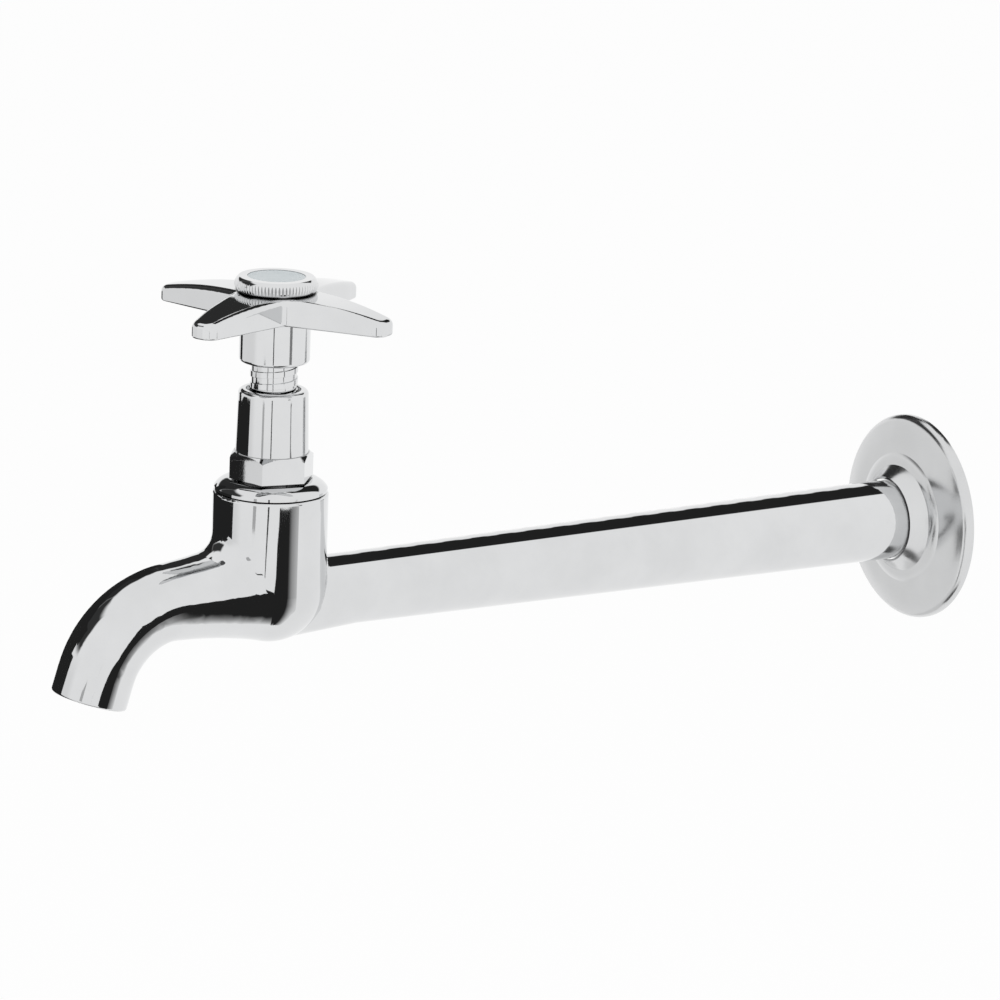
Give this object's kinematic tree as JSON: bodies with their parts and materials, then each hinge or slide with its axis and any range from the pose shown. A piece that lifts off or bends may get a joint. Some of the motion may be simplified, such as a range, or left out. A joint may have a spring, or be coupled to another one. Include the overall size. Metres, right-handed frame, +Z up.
{
  "type": "sink tap",
  "caption": "Wall-mounted cold water sink tap: a long tapering arm, an upright valve, a curved spout, a rising spindle, a cross handle and a loose cover flange.",
  "frame": {"origin": "centre of the arm's flat wall end, where the threaded tail begins", "axes": "+Y along the arm and tail into the wall, +Z up along the valve's stem, +X to the left of a person who faces the wall"},
  "size_m": [0.0604, 0.2719, 0.1102],
  "materials": {
    "chrome": "polished chrome plate",
    "brass": "machined brass",
    "steel": "plain stainless steel",
    "rubber": "moulded rubber",
    "fibre": "pressed fibre",
    "disc": "pale blue-grey enamel"
  },
  "bodies": {
    "fixed": {"tap_body": "chrome", "bonnet": "chrome", "bonnet_gasket": "fibre"},
    "valve": {"jumper": "brass", "jumper_washer": "rubber", "jumper_nut": "brass"},
    "turning": {"spindle": "chrome", "lower_o_ring": "rubber", "upper_o_ring": "rubber", "handle": "chrome", "screw_washer": "steel", "handle_screw": "brass", "cap_ring": "chrome", "index_disc": "disc"},
    "cover": {"wall_flange": "chrome"}
  },
  "joints": [
    {"name": "valve_lift", "type": "slide", "parent": "fixed", "child": "valve", "axis": [0, 0, 1], "range_m": [0, 0.0075]},
    {"name": "handle_turn", "type": "hinge", "parent": "valve", "child": "turning", "pos_m": [0, -0.2, 0], "axis": [0, 0, 1], "range_deg": [0, 900]},
    {"name": "flange_slide", "type": "slide", "parent": "fixed", "child": "cover", "axis": [0, -1, 0], "range_m": [0, 0.16]}
  ],
  "couplings": [
    {"joint": "valve_lift", "follows": "handle_turn", "m_per_rad": 0.00047746}
  ]
}
